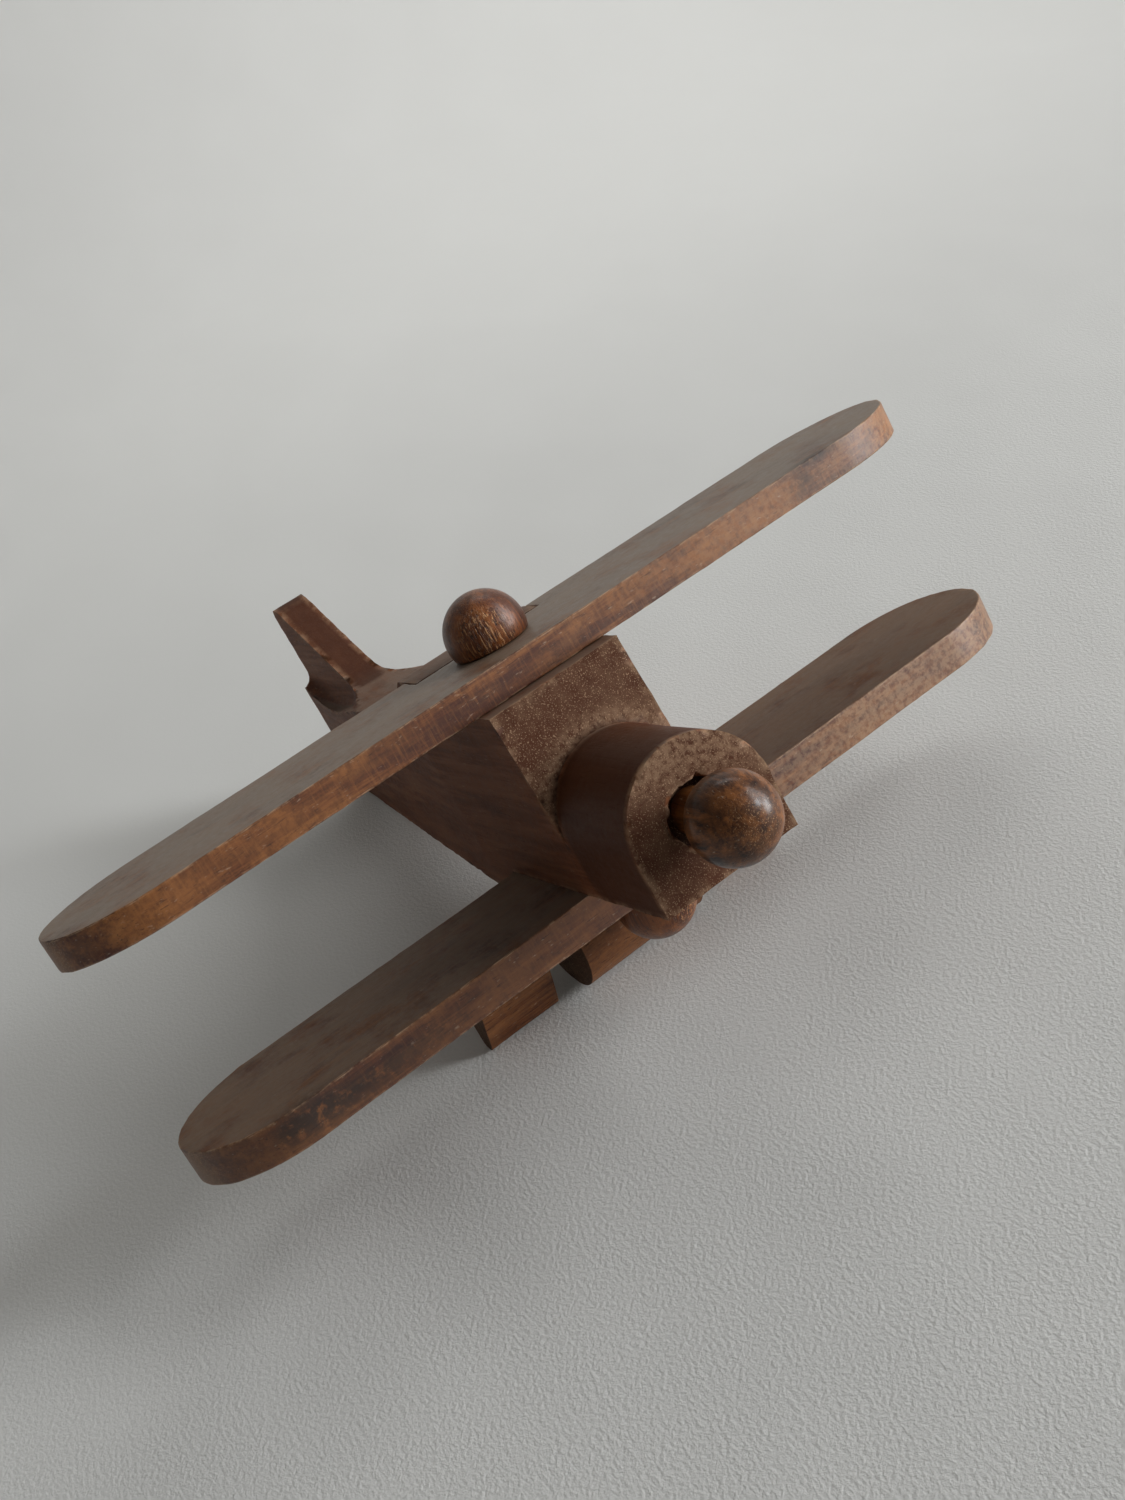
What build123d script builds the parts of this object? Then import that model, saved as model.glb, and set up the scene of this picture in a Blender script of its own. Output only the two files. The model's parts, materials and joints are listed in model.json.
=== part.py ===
"""Hand-carved wooden biplane: a tail-sitting toy with three ball details.

The plane is laid out in its own datum frame: X towards the nose, Y to its left and Z up, square to
the wings. It stands on its belly block, its two feet and the heel of its tail, so the datum frame is
tipped nose-up by the angle that puts all of them on the table. Row frame: Z = 0 is the table, X runs
forwards along it, and the origin is the middle of the belly block's worn flat. Millimetres.
"""
import os
from math import asin, atan2, cos, degrees, hypot, radians, sin, tan

from build123d import *

# Wings
half_span = 115.0
top_chord = 36.0
top_thickness = 8.0
top_tip_length = 25.5        # how far the rounded end reaches in from the tip
top_rear = 8.4               # rear edge, forward of the datum origin
bottom_chord = 41.8
bottom_thickness = 8.9
bottom_tip_length = 24.0
bottom_rear = 7.0
bottom_underside = 15.9
wing_edge_round = 0.8

# Fuselage, carved from one block with its fin
body_half_width = 17.2
nose_face = 86.0
cowl_axis_height = 38.1
roof_seat_height = 69.5      # the flat that carries the top wing
windscreen_top = 49.6
windscreen_slope = 7.0       # degrees back from upright
roof_step_front = 16.2       # the roof stands up behind the wing's notch
roof_step_length = 13.7
taper_start = -6.0           # the sides run in from here to the tail
tail_end = -122.0
tail_half_width = 8.2
deck_low_station = -60.0
deck_low_height = 63.8
deck_crown = 3.2             # how far the hidden deck rises halfway to the roof
fin_foot_station = -88.0
fin_foot_height = 69.6
fin_top_height = 92.8
fin_top_length = 6.0
fin_top_drop = 2.2
fin_half_thickness = 5.0
fin_corner_round = 2.5
shoulder_height = 61.4       # the carved shoulders beside the fin, at their lowest
shoulder_low_station = -105.0
shoulder_tail_rise = 5.6     # climb to the end of the tail
shoulder_front_rise = 2.0    # climb to where the shoulders run out
shoulder_end = -60.0
shoulder_root_round = 3.6
spine_half_width = 11.0      # the deck's ridge where the shoulders run out
belly_rear_height = 16.0     # belly just behind the bottom wing
tail_corner_height = 30.0
tail_corner_round = 3.0

# Balls
ball_radius = 9.65
head_station = 25.3
head_centre_above_wing = 3.2
belly_ball_station = 38.1
belly_ball_centre_below_wing = 4.9
knob_axis_height = 39.1      # the knob sits a little above the cowl's own axis
knob_centre_ahead_of_nose = 12.1
knob_neck_radius = 5.2
knob_shank_radius = 4.0
knob_shank_length = 22.0
knob_running_clearance = 0.05
knob_mouth_radius = 6.9
knob_mouth_depth = 4.5
knob_shoulder_gap = 0.3

# Belly block and feet
block_radius = 13.8
block_station = 11.0
block_centre_below_wing = 9.5
foot_inner = 24.4            # from the middle of the plane to the foot's inner end
foot_width = 20.0
foot_top_length = 19.6
foot_bottom_length = 4.2
foot_tip_round = 2.5
worn_flat_depth = 0.15       # how deep the table has worn the rounds

# Wooden pegs
peg_radius = 2.5
peg_glue_gap = 0.05
peg_end_gap = 0.5
head_peg_in_head = 6.0
head_peg_in_cabin = 16.0
belly_peg_in_ball = 6.0
belly_peg_in_body = 14.0
block_peg_spacing = 20.0
block_peg_in_block = 9.0
block_peg_in_body = 9.0
foot_peg_spacing = 10.0
foot_peg_in_foot = 8.0
foot_peg_in_wing = 6.0
foot_peg_back = 6.5          # from the foot's rear side

notch_gap = 0.15             # glue line round the roof in the wing's notch
cut_margin = 2.0             # how far a cutting shape reaches past the wood it cuts

# Heights and stations that follow from the sizes above
bottom_top = bottom_underside + bottom_thickness
top_wing_top = roof_seat_height + top_thickness
nose_bottom = bottom_top
block_height = bottom_underside - block_centre_below_wing
roof_step_rear = roof_step_front - roof_step_length
windscreen_foot = windscreen_top + (roof_seat_height - nose_bottom) * tan(radians(windscreen_slope))
head_height = top_wing_top + head_centre_above_wing
belly_ball_height = bottom_underside - belly_ball_centre_below_wing
knob_station = nose_face + knob_centre_ahead_of_nose
knob_neck_rear = nose_face - knob_mouth_depth + knob_shoulder_gap
knob_bore_depth = knob_shank_length + peg_end_gap
peg_hole_radius = peg_radius + peg_glue_gap

# The table is the line from the tail's corner that just touches the belly block's round.
stand_radius = block_radius - worn_flat_depth
corner_run = block_station - tail_end
corner_drop = tail_corner_height + worn_flat_depth - block_height
rest_angle = degrees(
    atan2(corner_drop, corner_run) + asin(stand_radius / hypot(corner_run, corner_drop))
)
forward = Vector(cos(radians(rest_angle)), 0, sin(radians(rest_angle)))
upward = Vector(-sin(radians(rest_angle)), 0, cos(radians(rest_angle)))
stand_station = block_station - stand_radius * sin(radians(rest_angle))
stand_height = block_height - stand_radius * cos(radians(rest_angle))
datum = Plane(
    origin=forward * -stand_station + upward * -stand_height, x_dir=forward, z_dir=upward
)
table = Plane.XY


def level(height):
    """The plane square to the plane's upright at this height."""
    return datum.offset(height)


def station(forward_distance):
    """The plane square to the fuselage: its X is the plane's left, its Y is up."""
    return Plane(
        origin=datum.from_local_coords((forward_distance, 0, 0)), x_dir=(0, 1, 0), z_dir=forward
    )


def side_view(left_distance):
    """The plane of the side view: its X is forward, its Y is up."""
    return Plane(
        origin=datum.from_local_coords((0, left_distance, 0)), x_dir=forward, z_dir=(0, -1, 0)
    )


up_axis = Axis(datum.origin, upward)
nose_axis = Axis(datum.from_local_coords((0, 0, knob_axis_height)), forward)

foot_bottom = (
    stand_height
    - (bottom_rear + foot_tip_round - stand_station) * tan(radians(rest_angle))
    + (foot_tip_round - worn_flat_depth) / cos(radians(rest_angle))
    - foot_tip_round
)
block_peg_places = (
    (block_station, block_peg_spacing / 2),
    (block_station, -block_peg_spacing / 2),
)
foot_middle = foot_inner + foot_width / 2
foot_peg_station = bottom_rear + foot_peg_back
foot_peg_places = (
    (foot_peg_station, foot_middle - foot_peg_spacing / 2),
    (foot_peg_station, foot_middle + foot_peg_spacing / 2),
    (foot_peg_station, foot_peg_spacing / 2 - foot_middle),
    (foot_peg_station, -foot_peg_spacing / 2 - foot_middle),
)

# Hollows scooped beside the fin: what is cut away over the shoulders, left side and its mirror image.
with BuildPart() as tail_hollows:
    with BuildSketch(level(0)):
        with BuildLine():
            Polyline(
                (fin_foot_station, fin_half_thickness),
                (tail_end - cut_margin, fin_half_thickness),
                (tail_end - cut_margin, 2 * body_half_width),
                (shoulder_end, 2 * body_half_width),
                (shoulder_end, spine_half_width),
            )
            Spline(
                (shoulder_end, spine_half_width),
                ((fin_foot_station + shoulder_end) / 2, (fin_half_thickness + spine_half_width) / 2),
                (fin_foot_station, fin_half_thickness),
                tangents=((-1, -0.2), (-1, 0)),
            )
        make_face()
    extrude(amount=1.5 * fin_top_height)
    with BuildSketch(side_view(0)):
        with BuildLine():
            Spline(
                (tail_end - cut_margin, shoulder_height + shoulder_tail_rise + cut_margin / 2),
                (shoulder_low_station, shoulder_height),
                (shoulder_end, shoulder_height + shoulder_front_rise),
                tangents=((1, -0.6), (1, 0)),
            )
            Polyline(
                (shoulder_end, shoulder_height + shoulder_front_rise),
                (shoulder_end, 1.4 * fin_top_height),
                (tail_end - cut_margin, 1.4 * fin_top_height),
                (tail_end - cut_margin, shoulder_height + shoulder_tail_rise + cut_margin / 2),
            )
        make_face()
    extrude(amount=-3 * body_half_width, mode=Mode.INTERSECT)
    root = tail_hollows.faces().sort_by(up_axis)[0].edges().sort_by(Axis.Y)[0]
    fillet(root, radius=shoulder_root_round)
    mirror(about=side_view(0))

# One block of wood: cabin, belly, tail and fin in side view, tapered in plan, with a round-topped cowl.
deck_middle = (roof_step_rear + deck_low_station) / 2
fin_slope = (fin_top_height - fin_top_drop - fin_foot_height) / (
    fin_foot_station - tail_end - fin_top_length
)
with BuildPart() as fuselage:
    with BuildSketch(side_view(0)):
        with BuildLine():
            Polyline(
                (roof_step_rear, top_wing_top),
                (roof_step_front, top_wing_top),
                (roof_step_front, roof_seat_height),
                (windscreen_top, roof_seat_height),
                (windscreen_foot, nose_bottom),
                (bottom_rear, nose_bottom),
                (bottom_rear, belly_rear_height),
                (tail_end, tail_corner_height),
                (tail_end, fin_top_height),
                (tail_end + fin_top_length, fin_top_height - fin_top_drop),
                (fin_foot_station, fin_foot_height),
            )
            Spline(
                (fin_foot_station, fin_foot_height),
                (deck_low_station, deck_low_height),
                (deck_middle, deck_low_height + deck_crown),
                (roof_step_rear, top_wing_top),
                tangents=((1, -fin_slope), (1, 0.7)),
            )
        make_face()
    extrude(amount=body_half_width, both=True)
    with BuildSketch(level(0)):
        Polygon(
            (nose_face, -body_half_width),
            (nose_face, body_half_width),
            (taper_start, body_half_width),
            (tail_end, tail_half_width),
            (tail_end, -tail_half_width),
            (taper_start, -body_half_width),
            align=None,
        )
    extrude(amount=fin_top_height + top_wing_top, mode=Mode.INTERSECT)
    add(tail_hollows.part, mode=Mode.SUBTRACT)
    tail_edges = fuselage.edges().filter_by(Axis.Y).filter_by_position(
        Axis(datum.origin, forward), tail_end - 1, tail_end + 1
    )
    fillet(tail_edges.sort_by(up_axis)[-1], radius=fin_corner_round)
    fillet(tail_edges.sort_by(up_axis)[0], radius=tail_corner_round)
    # Round-topped cowl in front of the windscreen
    with BuildSketch(station(nose_face)):
        with BuildLine():
            Polyline(
                (-body_half_width, cowl_axis_height),
                (-body_half_width, nose_bottom),
                (body_half_width, nose_bottom),
                (body_half_width, cowl_axis_height),
            )
            CenterArc((0, cowl_axis_height), body_half_width, 0, 180)
        make_face()
    extrude(amount=windscreen_top - nose_face)
    # Mouth and bore for the nose knob
    with BuildSketch(station(nose_face)):
        with Locations((0, knob_axis_height)):
            Circle(knob_mouth_radius)
    extrude(amount=-knob_mouth_depth, mode=Mode.SUBTRACT)
    with BuildSketch(station(nose_face)):
        with Locations((0, knob_axis_height)):
            Circle(knob_shank_radius + knob_running_clearance)
    extrude(amount=-knob_bore_depth, mode=Mode.SUBTRACT)
    # Blind peg holes up from the wing's seat and down from the roof
    with BuildSketch(level(nose_bottom)):
        with Locations(*block_peg_places):
            Circle(peg_hole_radius)
    extrude(amount=block_peg_in_body + peg_end_gap, mode=Mode.SUBTRACT)
    with BuildSketch(level(nose_bottom)):
        with Locations((belly_ball_station, 0)):
            Circle(peg_hole_radius)
    extrude(amount=belly_peg_in_body + peg_end_gap, mode=Mode.SUBTRACT)
    with BuildSketch(level(roof_seat_height)):
        with Locations((head_station, 0)):
            Circle(peg_hole_radius)
    extrude(amount=-head_peg_in_cabin - peg_end_gap, mode=Mode.SUBTRACT)
    # The tail's corner is worn flat by the table
    split(bisect_by=table, keep=Keep.TOP)

# Top wing: a plain board with rounded ends, notched at the back to fit round the roof.
with BuildPart() as top_wing:
    with BuildSketch(level(roof_seat_height)):
        with Locations((top_rear + top_chord / 2, 0)):
            Rectangle(top_chord, 2 * (half_span - top_tip_length))
        with Locations((top_rear + top_chord / 2, half_span - top_tip_length)):
            Ellipse(top_chord / 2, top_tip_length)
        with Locations((top_rear + top_chord / 2, top_tip_length - half_span)):
            Ellipse(top_chord / 2, top_tip_length)
    extrude(amount=top_thickness)
    rims = top_wing.faces().filter_by(Plane(origin=(0, 0, 0), z_dir=upward)).edges()
    fillet(rims, radius=wing_edge_round)
    with BuildSketch(level(roof_seat_height)):
        with Locations((roof_step_front + notch_gap, 0)):
            Rectangle(
                top_chord, 2 * (body_half_width + notch_gap), align=(Align.MAX, Align.CENTER)
            )
    extrude(amount=top_thickness, mode=Mode.SUBTRACT)
    with BuildSketch(level(roof_seat_height)):
        with Locations((head_station, 0)):
            Circle(peg_hole_radius)
    extrude(amount=top_thickness, mode=Mode.SUBTRACT)

# Bottom wing: a wider board let into the fuselage's underside.
with BuildPart() as bottom_wing:
    with BuildSketch(level(bottom_underside)):
        with Locations((bottom_rear + bottom_chord / 2, 0)):
            Rectangle(bottom_chord, 2 * (half_span - bottom_tip_length))
        with Locations((bottom_rear + bottom_chord / 2, half_span - bottom_tip_length)):
            Ellipse(bottom_chord / 2, bottom_tip_length)
        with Locations((bottom_rear + bottom_chord / 2, bottom_tip_length - half_span)):
            Ellipse(bottom_chord / 2, bottom_tip_length)
    extrude(amount=bottom_thickness)
    rims = bottom_wing.faces().filter_by(Plane(origin=(0, 0, 0), z_dir=upward)).edges()
    fillet(rims, radius=wing_edge_round)
    with BuildSketch(level(bottom_underside)):
        with Locations(*block_peg_places, (belly_ball_station, 0)):
            Circle(peg_hole_radius)
    extrude(amount=bottom_thickness, mode=Mode.SUBTRACT)
    with BuildSketch(level(bottom_underside)):
        with Locations(*foot_peg_places):
            Circle(peg_hole_radius)
    extrude(amount=foot_peg_in_wing + peg_end_gap, mode=Mode.SUBTRACT)

# Pilot's head: a ball cut flat where it sits on the top wing.
with BuildPart() as pilot_head:
    with Locations(Location(datum.from_local_coords((head_station, 0, head_height)))):
        Sphere(ball_radius)
    split(bisect_by=level(top_wing_top), keep=Keep.TOP)
    with BuildSketch(level(top_wing_top)):
        with Locations((head_station, 0)):
            Circle(peg_hole_radius)
    extrude(amount=head_peg_in_head + peg_end_gap, mode=Mode.SUBTRACT)

# Nose knob: a turned ball with a fat neck and a shank that runs in the nose's bore.
with BuildPart() as nose_knob:
    with BuildSketch(side_view(0)):
        with Locations((knob_station, knob_axis_height)):
            Circle(ball_radius)
        with Locations((knob_station, knob_axis_height)):
            Rectangle(
                3 * ball_radius,
                2 * ball_radius,
                align=(Align.CENTER, Align.MAX),
                mode=Mode.SUBTRACT,
            )
        with Locations((knob_neck_rear, knob_axis_height)):
            Rectangle(knob_station - knob_neck_rear, knob_neck_radius, align=(Align.MIN, Align.MIN))
        with Locations((nose_face - knob_shank_length, knob_axis_height)):
            Rectangle(
                knob_station - nose_face + knob_shank_length,
                knob_shank_radius,
                align=(Align.MIN, Align.MIN),
            )
    revolve(axis=nose_axis)

# Belly ball: cut flat against the bottom wing.
with BuildPart() as belly_ball:
    with Locations(Location(datum.from_local_coords((belly_ball_station, 0, belly_ball_height)))):
        Sphere(ball_radius)
    split(bisect_by=level(bottom_underside), keep=Keep.BOTTOM)
    with BuildSketch(level(bottom_underside)):
        with Locations((belly_ball_station, 0)):
            Circle(peg_hole_radius)
    extrude(amount=-belly_peg_in_ball - peg_end_gap, mode=Mode.SUBTRACT)

# Belly block: a length of round bar cut flat on top and worn flat by the table.
with BuildPart() as belly_block:
    with BuildSketch(side_view(0)):
        with Locations((block_station, block_height)):
            Circle(block_radius)
    extrude(amount=body_half_width, both=True)
    split(bisect_by=level(bottom_underside), keep=Keep.BOTTOM)
    split(bisect_by=table, keep=Keep.TOP)
    with BuildSketch(level(bottom_underside)):
        with Locations(*block_peg_places):
            Circle(peg_hole_radius)
    extrude(amount=-block_peg_in_block - peg_end_gap, mode=Mode.SUBTRACT)

# Feet: wedges under the bottom wing's rear edge, left foot and its mirror image.
with BuildPart() as left_foot:
    with BuildSketch(side_view(foot_inner)):
        with BuildLine() as foot_line:
            Polyline(
                (bottom_rear, bottom_underside),
                (bottom_rear + foot_top_length, bottom_underside),
                (bottom_rear + foot_bottom_length, foot_bottom),
                (bottom_rear, foot_bottom),
                close=True,
            )
            fillet(foot_line.vertices().sort_by(Axis.Y)[:2], radius=foot_tip_round)
        make_face()
    extrude(amount=-foot_width)
    split(bisect_by=table, keep=Keep.TOP)
    with BuildSketch(level(bottom_underside)):
        with Locations(*foot_peg_places[:2]):
            Circle(peg_hole_radius)
    extrude(amount=-foot_peg_in_foot - peg_end_gap, mode=Mode.SUBTRACT)

with BuildPart() as right_foot:
    mirror(left_foot.part, about=side_view(0))

# Hidden beech pegs, glued in blind holes.
with BuildPart() as head_peg:
    with BuildSketch(level(top_wing_top + head_peg_in_head)):
        with Locations((head_station, 0)):
            Circle(peg_radius)
    extrude(amount=-head_peg_in_head - top_thickness - head_peg_in_cabin)

with BuildPart() as belly_ball_peg:
    with BuildSketch(level(bottom_underside - belly_peg_in_ball)):
        with Locations((belly_ball_station, 0)):
            Circle(peg_radius)
    extrude(amount=belly_peg_in_ball + bottom_thickness + belly_peg_in_body)

with BuildPart() as block_pegs:
    with BuildSketch(level(bottom_underside - block_peg_in_block)):
        with Locations(*block_peg_places):
            Circle(peg_radius)
    extrude(amount=block_peg_in_block + bottom_thickness + block_peg_in_body)

with BuildPart() as foot_pegs:
    with BuildSketch(level(bottom_underside - foot_peg_in_foot)):
        with Locations(*foot_peg_places):
            Circle(peg_radius)
    extrude(amount=foot_peg_in_foot + foot_peg_in_wing)

fuselage.part.label = "fuselage"
top_wing.part.label = "top_wing"
bottom_wing.part.label = "bottom_wing"
pilot_head.part.label = "pilot_head"
nose_knob.part.label = "nose_knob"
belly_ball.part.label = "belly_ball"
belly_block.part.label = "belly_block"
left_foot.part.label = "left_foot"
right_foot.part.label = "right_foot"
head_peg.part.label = "head_peg"
belly_ball_peg.part.label = "belly_ball_peg"
block_pegs.part.label = "block_pegs"
foot_pegs.part.label = "foot_pegs"

os.makedirs("parts", exist_ok=True)
export_step(fuselage.part, "parts/fuselage.step")
export_step(top_wing.part, "parts/top_wing.step")
export_step(bottom_wing.part, "parts/bottom_wing.step")
export_step(pilot_head.part, "parts/pilot_head.step")
export_step(nose_knob.part, "parts/nose_knob.step")
export_step(belly_ball.part, "parts/belly_ball.step")
export_step(belly_block.part, "parts/belly_block.step")
export_step(left_foot.part, "parts/left_foot.step")
export_step(right_foot.part, "parts/right_foot.step")
export_step(head_peg.part, "parts/head_peg.step")
export_step(belly_ball_peg.part, "parts/belly_ball_peg.step")
export_step(block_pegs.part, "parts/block_pegs.step")
export_step(foot_pegs.part, "parts/foot_pegs.step")
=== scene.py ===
"""Looks of a hand-carved wooden biplane, standing nose-up on its tail."""

import json
import math
from functools import partial

import bpy
import numpy as np
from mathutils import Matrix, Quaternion, Vector


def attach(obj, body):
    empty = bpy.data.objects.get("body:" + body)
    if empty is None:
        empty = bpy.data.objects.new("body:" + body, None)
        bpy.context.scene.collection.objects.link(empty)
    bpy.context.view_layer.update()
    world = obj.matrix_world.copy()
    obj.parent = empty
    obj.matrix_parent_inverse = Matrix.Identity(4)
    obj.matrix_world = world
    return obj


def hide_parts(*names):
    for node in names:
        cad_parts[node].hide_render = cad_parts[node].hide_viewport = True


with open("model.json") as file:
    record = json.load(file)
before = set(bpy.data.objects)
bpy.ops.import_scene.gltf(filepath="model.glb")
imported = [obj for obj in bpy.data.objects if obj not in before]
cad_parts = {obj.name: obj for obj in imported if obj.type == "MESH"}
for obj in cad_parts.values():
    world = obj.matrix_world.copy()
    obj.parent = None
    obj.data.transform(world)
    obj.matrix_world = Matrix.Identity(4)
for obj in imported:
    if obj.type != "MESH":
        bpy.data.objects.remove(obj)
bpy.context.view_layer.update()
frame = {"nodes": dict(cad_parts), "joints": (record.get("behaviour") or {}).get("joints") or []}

# ---------------------------------------------------------------------------------------------
# Fuselage. One block of hardwood, sawn in side view, tapered in plan, its cowl and the hollows
# beside the fin cut with a gouge, then stained and waxed. All the other wood is fixed to it.
# ---------------------------------------------------------------------------------------------
MM = 0.001
spin = frame["joints"][0]
lean = math.atan2(spin["axis"][2], spin["axis"][0])
forward = Vector(spin["axis"])
upward = Vector((-forward.z, 0, forward.x))
nose_face = 86.0 * MM
knob_height = 39.1 * MM
bench_origin = Vector(spin["pos_m"]) - nose_face * forward - knob_height * upward


def pick(piece):
    """Selects one piece alone and makes it the active one."""
    bpy.ops.object.select_all(action="DESELECT")
    piece.select_set(True)
    bpy.context.view_layer.objects.active = piece


def lay_level(piece):
    """Turns a piece from the way it stands to the way it lies on the bench, square to its wings."""
    pick(piece)
    piece.rotation_euler = (0, lean, 0)
    piece.location = -Vector((bench_origin.dot(forward), 0, bench_origin.dot(upward)))
    bpy.ops.object.transform_apply(location=True, rotation=True, scale=True)


def stand_up(piece):
    """Turns a piece shaped level to the way it stands on its tail."""
    pick(piece)
    bpy.ops.object.transform_apply(location=True, rotation=True, scale=True)
    piece.rotation_euler = (0, -lean, 0)
    piece.location = bench_origin
    bpy.ops.object.transform_apply(location=True, rotation=True, scale=True)


def apply_modifier(piece, name, kind, **settings):
    """Adds a modifier to the active piece and bakes it into the mesh."""
    modifier = piece.modifiers.new(name, kind)
    for key, value in settings.items():
        setattr(modifier, key, value)
    bpy.ops.object.modifier_apply(modifier=modifier.name)


def clouds(name, size, depth=2):
    """A soft cloudy pattern of lumps of about that size, for displacing a skin."""
    texture = bpy.data.textures.new(name, "CLOUDS")
    texture.noise_scale = size
    texture.noise_depth = depth
    return texture


hand_waves = clouds("hand_waves", 22 * MM)
edge_nicks = clouds("edge_nicks", 2.6 * MM, 3)


def bend_of_skin(piece):
    """How sharply the skin bends at each point: above 0 on edges, below 0 in corners."""
    mesh = piece.data
    points = np.empty(len(mesh.vertices) * 3)
    normals = np.empty(len(mesh.vertices) * 3)
    edges = np.empty(len(mesh.edges) * 2, dtype=np.int64)
    mesh.vertices.foreach_get("co", points)
    mesh.vertices.foreach_get("normal", normals)
    mesh.edges.foreach_get("vertices", edges)
    points, normals, edges = points.reshape(-1, 3), normals.reshape(-1, 3), edges.reshape(-1, 2)
    first, second = edges[:, 0], edges[:, 1]
    way = points[second] - points[first]
    way /= np.linalg.norm(way, axis=1).clip(1e-9)[:, None]
    bend = np.bincount(first, -(way * normals[first]).sum(1), len(points))
    bend += np.bincount(second, (way * normals[second]).sum(1), len(points))
    return bend / np.bincount(edges.ravel(), minlength=len(points)).clip(1)


def sharp_share(bend):
    """Turns a bend of the skin into a share from 0 on flats to 1 on sharp edges."""
    flat_bend, steepness = 0.2, 6
    return np.clip(bend * steepness - flat_bend, 0, 1)


def mark_wear(piece):
    """Stores where the skin bends out, to wear bare, and where it bends in, to be darkened."""
    bend = bend_of_skin(piece)
    for name, amount in (("worn", bend), ("deep", -bend)):
        mark = piece.data.attributes.new(name, "FLOAT", "POINT")
        mark.data.foreach_set("value", sharp_share(amount).astype(np.float32))


def smooth_by_angle(piece, degrees=35):
    """Shades a piece smooth, but keeps edges sharper than that angle crisp."""
    pick(piece)
    bpy.ops.object.shade_smooth_by_angle(angle=math.radians(degrees))


def paint(piece, name, amount):
    """Stores a mark on a piece lying level; amount gives its strength at a point."""
    mark = piece.data.attributes.new(name, "FLOAT", "POINT")
    values = [min(1.0, max(0.0, amount(*v.co))) for v in piece.data.vertices]
    mark.data.foreach_set("value", values)


def hand_work(piece, arris=0.6 * MM, cell=2.0 * MM, waves=0.25 * MM, nicks=0.5 * MM):
    """Breaks the edges of a sawn piece and gives it the slight waves of hand sanding and nicks."""
    pick(piece)
    bpy.ops.object.mode_set(mode="EDIT")
    bpy.ops.mesh.select_all(action="SELECT")
    bpy.ops.mesh.dissolve_limited(angle_limit=math.radians(0.5))
    bpy.ops.object.mode_set(mode="OBJECT")
    apply_modifier(piece, "arris", "BEVEL", width=arris, segments=4, profile=0.72,
                   limit_method="ANGLE", angle_limit=math.radians(32), use_clamp_overlap=True)
    bpy.ops.object.mode_set(mode="EDIT")
    bpy.ops.mesh.select_mode(type="VERT")
    places = [[v.co[axis] for v in piece.data.vertices] for axis in range(3)]
    off_the_edges = 0.013
    for axis in range(3):
        low, high = min(places[axis]), max(places[axis])
        cuts = int((high - low) / cell)
        for cut in range(1, cuts):
            place, way = [0, 0, 0], [0, 0, 0]
            place[axis] = low + (high - low) * (cut + off_the_edges) / cuts
            way[axis] = 1
            bpy.ops.mesh.select_all(action="SELECT")
            bpy.ops.mesh.bisect(plane_co=place, plane_no=way)
    bpy.ops.mesh.select_all(action="SELECT")
    bpy.ops.mesh.remove_doubles(threshold=0.02 * MM)
    bpy.ops.object.mode_set(mode="OBJECT")
    apply_modifier(piece, "waves", "DISPLACE", texture=hand_waves, strength=waves, mid_level=1.0,
                   texture_coords="LOCAL")
    edge = sharp_share(bend_of_skin(piece))
    group = piece.vertex_groups.new(name="edges")
    least_share = 0.02
    for index in np.nonzero(edge > least_share)[0]:
        group.add([int(index)], float(edge[index]), "REPLACE")
    apply_modifier(piece, "nicks", "DISPLACE", texture=edge_nicks, strength=nicks, mid_level=0.62,
                   vertex_group="edges", texture_coords="LOCAL")
    mark_wear(piece)
    apply_modifier(piece, "corners", "TRIANGULATE", min_vertices=5)
    smooth_by_angle(piece)


def copy_of_cad(node, name):
    """A closed mesh with the shape of a CAD node, ready to be worked on."""
    source = frame["nodes"][node]
    pick(source)
    piece = source.copy()
    piece.data = source.data.copy()
    piece.name = piece.data.name = name
    bpy.context.collection.objects.link(piece)
    piece.parent = None
    piece.matrix_world = source.matrix_world
    piece.rotation_mode = "XYZ"
    piece.data.materials.clear()
    pick(piece)
    bpy.ops.object.mode_set(mode="EDIT")
    bpy.ops.mesh.select_all(action="SELECT")
    bpy.ops.mesh.remove_doubles(threshold=0.01 * MM)
    bpy.ops.mesh.normals_make_consistent(inside=False)
    bpy.ops.object.mode_set(mode="OBJECT")
    return piece


def socket(group, name, kind, inward, default=None):
    """Adds a named input or output to a node group."""
    made = group.interface.new_socket(name=name, in_out="INPUT" if inward else "OUTPUT",
                                      socket_type=kind)
    if default is not None:
        made.default_value = default


def node_of(tree, kind, **settings):
    """Adds a node with its settings to a node tree."""
    node = tree.nodes.new(kind)
    for key, value in settings.items():
        setattr(node, key, value)
    return node


def feed(tree, value, target):
    """Links a socket to another, or sets it where it is fed a plain number or colour."""
    if isinstance(value, bpy.types.NodeSocket):
        tree.links.new(value, target)
    else:
        target.default_value = value


def calc_node(tree, kind, a, b, clamp=False):
    """One step of arithmetic on two values; clamp keeps the result between 0 and 1."""
    made = node_of(tree, "ShaderNodeMath", operation=kind, use_clamp=clamp)
    feed(tree, a, made.inputs[0])
    feed(tree, b, made.inputs[1])
    return made.outputs[0]


def ramp_node(tree, value, low, high, ease="LINEAR"):
    """0 up to the low value, 1 from the high one on, and a ramp between them."""
    made = node_of(tree, "ShaderNodeMapRange", interpolation_type=ease)
    made.inputs["From Min"].default_value = low
    made.inputs["From Max"].default_value = high
    feed(tree, value, made.inputs["Value"])
    return made.outputs["Result"]


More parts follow.
